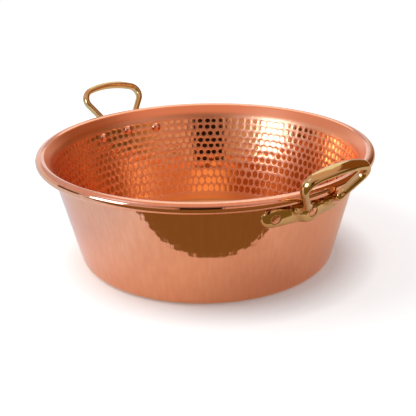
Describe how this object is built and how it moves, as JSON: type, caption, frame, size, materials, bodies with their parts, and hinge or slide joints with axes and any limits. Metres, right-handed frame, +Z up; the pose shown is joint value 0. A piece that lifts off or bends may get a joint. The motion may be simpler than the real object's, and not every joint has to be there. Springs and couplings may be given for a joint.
{
  "type": "jam pan",
  "caption": "Round copper jam pan with sloping hammered sides, a flat base, a rolled wired rim and cast brass loop handles riveted on opposite sides.",
  "frame": {"origin": "middle of the base on the surface that the pan stands on", "axes": "+Z up along the pan's axis, +X through the middle of the right handle, -X through the middle of the left handle"},
  "size_m": [0.4478, 0.38, 0.1632],
  "materials": {
    "copper_sheet": "polished, hammered inside",
    "cast_brass": "polished casting",
    "copper_rivet": "hammered",
    "steel_wire": "drawn wire"
  },
  "bodies": {
    "root": {"bowl": "copper_sheet", "rim_wire": "steel_wire", "handle_right": "cast_brass", "handle_left": "cast_brass", "rivet_right_front": "copper_rivet", "rivet_right_middle": "copper_rivet", "rivet_right_back": "copper_rivet", "rivet_left_front": "copper_rivet", "rivet_left_middle": "copper_rivet", "rivet_left_back": "copper_rivet"}
  },
  "joints": []
}
